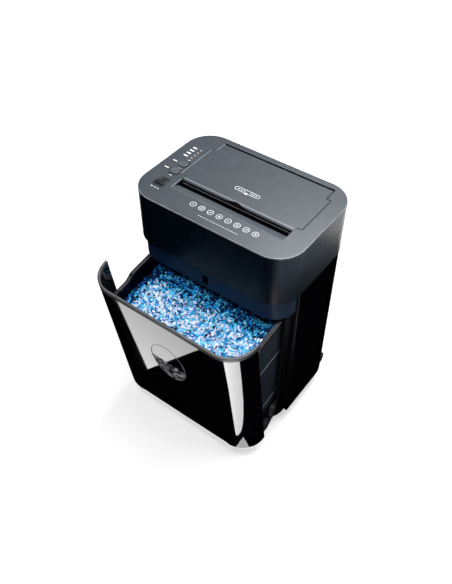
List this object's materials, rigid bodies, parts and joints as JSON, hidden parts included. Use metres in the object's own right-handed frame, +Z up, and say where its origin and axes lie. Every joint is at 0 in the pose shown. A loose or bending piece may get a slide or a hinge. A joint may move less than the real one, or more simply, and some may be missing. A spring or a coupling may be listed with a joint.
{
  "type": "paper shredder",
  "caption": "Upright office paper shredder on castors: shredding head with slot, hinged lid and keys over a cabinet with a pull-out bin of shreds.",
  "frame": {"origin": "on the floor under the middle of the head's plan outline", "axes": "+Z up, -Y towards the front where the bin comes out, +X to the right seen from the front"},
  "size_m": [0.324, 0.3587, 0.486],
  "materials": {
    "charcoal_plastic": "fine spark-eroded grain, matte",
    "black_plastic": "satin moulded plastic",
    "switch_black": "satin moulded plastic",
    "button_grey": "satin moulded plastic",
    "gloss_black": "polished, high gloss",
    "grip_grey": "fine grain, matte",
    "tub_plastic": "satin moulded plastic",
    "smoked_window": "smoked clear plastic",
    "paper": "cross-cut paper, white and blues",
    "glide_nylon": "black nylon",
    "zinc_steel": "zinc plated",
    "hardened_steel": "ground and oiled",
    "gear_nylon": "natural nylon",
    "bush_bronze": "sintered bronze",
    "motor_paint": "black enamel",
    "board_green": "solder resist",
    "indicator_clear": "clear diffuser",
    "castor_plastic": "satin moulded plastic",
    "castor_tread": "soft tread"
  },
  "bodies": {
    "cabinet": {"left_side_panel": "gloss_black", "right_side_panel": "gloss_black", "back_panel": "black_plastic", "back_panel_screws": "zinc_steel", "base_tray": "black_plastic", "left_front_pillar": "gloss_black", "right_front_pillar": "gloss_black", "head_lower_housing": "black_plastic", "head_side_shell": "black_plastic", "head_top_cover": "charcoal_plastic", "head_rear_cover": "black_plastic", "cord_gland": "black_plastic", "lid_well": "black_plastic", "throat_guide": "black_plastic", "paper_sensor": "black_plastic", "switch_bezels": "switch_black", "indicator_lenses": "indicator_clear", "control_board": "board_green", "cutter_frame_left": "zinc_steel", "cutter_frame_right": "zinc_steel", "frame_tie_rods": "zinc_steel", "frame_screws": "zinc_steel", "cutter_bushes": "bush_bronze", "front_stripper_comb": "glide_nylon", "rear_stripper_comb": "glide_nylon", "idler_stud": "zinc_steel", "motor_housing": "motor_paint", "safety_switch": "black_plastic"},
    "lid": {"feed_lid": "charcoal_plastic", "lid_hinge_pins": "zinc_steel"},
    "rocker": {"rocker_switch": "switch_black"},
    "forward_key": {"forward_button": "button_grey"},
    "reverse_key": {"reverse_button": "button_grey"},
    "glide": {"bin_glide": "glide_nylon"},
    "bin": {"bin_tub": "tub_plastic", "bin_trunnions": "zinc_steel", "bin_front_panel": "gloss_black", "panel_grip_rim": "grip_grey", "bin_window": "smoked_window", "interlock_tongue": "tub_plastic", "paper_shreds": "paper"},
    "front_cutter": {"front_cutter_shaft": "hardened_steel", "front_cutter_discs": "hardened_steel", "front_timing_gear": "hardened_steel"},
    "rear_cutter": {"rear_cutter_shaft": "hardened_steel", "rear_cutter_discs": "hardened_steel", "rear_timing_gear": "hardened_steel", "driven_gear": "hardened_steel"},
    "idler": {"idler_gear": "gear_nylon"},
    "motor_rotor": {"motor_shaft": "zinc_steel", "motor_pinion": "hardened_steel"},
    "swivel_front_left": {"castor_fork_front_left": "castor_plastic"},
    "wheel_front_left": {"castor_wheel_front_left": "castor_tread"},
    "swivel_front_right": {"castor_fork_front_right": "castor_plastic"},
    "wheel_front_right": {"castor_wheel_front_right": "castor_tread"},
    "swivel_rear_left": {"castor_fork_rear_left": "castor_plastic"},
    "wheel_rear_left": {"castor_wheel_rear_left": "castor_tread"},
    "swivel_rear_right": {"castor_fork_rear_right": "castor_plastic"},
    "wheel_rear_right": {"castor_wheel_rear_right": "castor_tread"}
  },
  "joints": [
    {"name": "lid_hinge", "type": "hinge", "parent": "cabinet", "child": "lid", "pos_m": [0.0115, 0.0888, 0.4778], "axis": [-1, 0, 0], "range_deg": [0, 75]},
    {"name": "rocker_tilt", "type": "hinge", "parent": "cabinet", "child": "rocker", "pos_m": [-0.124, -0.06, 0.48], "axis": [1, 0, 0], "range_deg": [0, 14]},
    {"name": "forward_press", "type": "slide", "parent": "cabinet", "child": "forward_key", "axis": [0, 0, -1], "range_m": [0, 0.0012], "stiffness_N_per_m": 400, "springref_m": -0.001},
    {"name": "reverse_press", "type": "slide", "parent": "cabinet", "child": "reverse_key", "axis": [0, 0, -1], "range_m": [0, 0.0012], "stiffness_N_per_m": 400, "springref_m": -0.001},
    {"name": "bin_slide", "type": "slide", "parent": "cabinet", "child": "glide", "axis": [0, 1, 0], "range_m": [0, 0.08]},
    {"name": "bin_tip", "type": "hinge", "parent": "glide", "child": "bin", "pos_m": [0, -0.076, 0.058], "axis": [1, 0, 0], "range_deg": [-7.5, 0]},
    {"name": "rear_cutter_spin", "type": "hinge", "parent": "cabinet", "child": "rear_cutter", "pos_m": [0, -0.0225, 0.375], "axis": [1, 0, 0], "continuous": true},
    {"name": "front_cutter_spin", "type": "hinge", "parent": "cabinet", "child": "front_cutter", "pos_m": [0, -0.0605, 0.375], "axis": [1, 0, 0], "continuous": true},
    {"name": "idler_spin", "type": "hinge", "parent": "cabinet", "child": "idler", "pos_m": [-0.13, 0.01415, 0.38834], "axis": [1, 0, 0], "continuous": true},
    {"name": "motor_spin", "type": "hinge", "parent": "cabinet", "child": "motor_rotor", "pos_m": [-0.12, 0.04315, 0.38834], "axis": [1, 0, 0], "continuous": true},
    {"name": "swivel_front_left_turn", "type": "hinge", "parent": "cabinet", "child": "swivel_front_left", "pos_m": [-0.134, -0.075, 0.036], "axis": [0, 0, 1], "continuous": true},
    {"name": "wheel_front_left_roll", "type": "hinge", "parent": "swivel_front_left", "child": "wheel_front_left", "pos_m": [-0.134, -0.1, 0.015], "axis": [1, 0, 0], "continuous": true},
    {"name": "swivel_front_right_turn", "type": "hinge", "parent": "cabinet", "child": "swivel_front_right", "pos_m": [0.134, -0.075, 0.036], "axis": [0, 0, 1], "continuous": true},
    {"name": "wheel_front_right_roll", "type": "hinge", "parent": "swivel_front_right", "child": "wheel_front_right", "pos_m": [0.134, -0.1, 0.015], "axis": [1, 0, 0], "continuous": true},
    {"name": "swivel_rear_left_turn", "type": "hinge", "parent": "cabinet", "child": "swivel_rear_left", "pos_m": [-0.134, 0.089, 0.036], "axis": [0, 0, 1], "continuous": true},
    {"name": "wheel_rear_left_roll", "type": "hinge", "parent": "swivel_rear_left", "child": "wheel_rear_left", "pos_m": [-0.134, 0.114, 0.015], "axis": [1, 0, 0], "continuous": true},
    {"name": "swivel_rear_right_turn", "type": "hinge", "parent": "cabinet", "child": "swivel_rear_right", "pos_m": [0.134, 0.089, 0.036], "axis": [0, 0, 1], "continuous": true},
    {"name": "wheel_rear_right_roll", "type": "hinge", "parent": "swivel_rear_right", "child": "wheel_rear_right", "pos_m": [0.134, 0.114, 0.015], "axis": [1, 0, 0], "continuous": true}
  ],
  "couplings": [
    {"joint": "bin_tip", "follows": "bin_slide", "rad_per_m": -1.6362},
    {"joint": "front_cutter_spin", "follows": "rear_cutter_spin", "ratio": -1},
    {"joint": "idler_spin", "follows": "rear_cutter_spin", "ratio": -3.3333},
    {"joint": "motor_spin", "follows": "rear_cutter_spin", "ratio": 12.778}
  ]
}
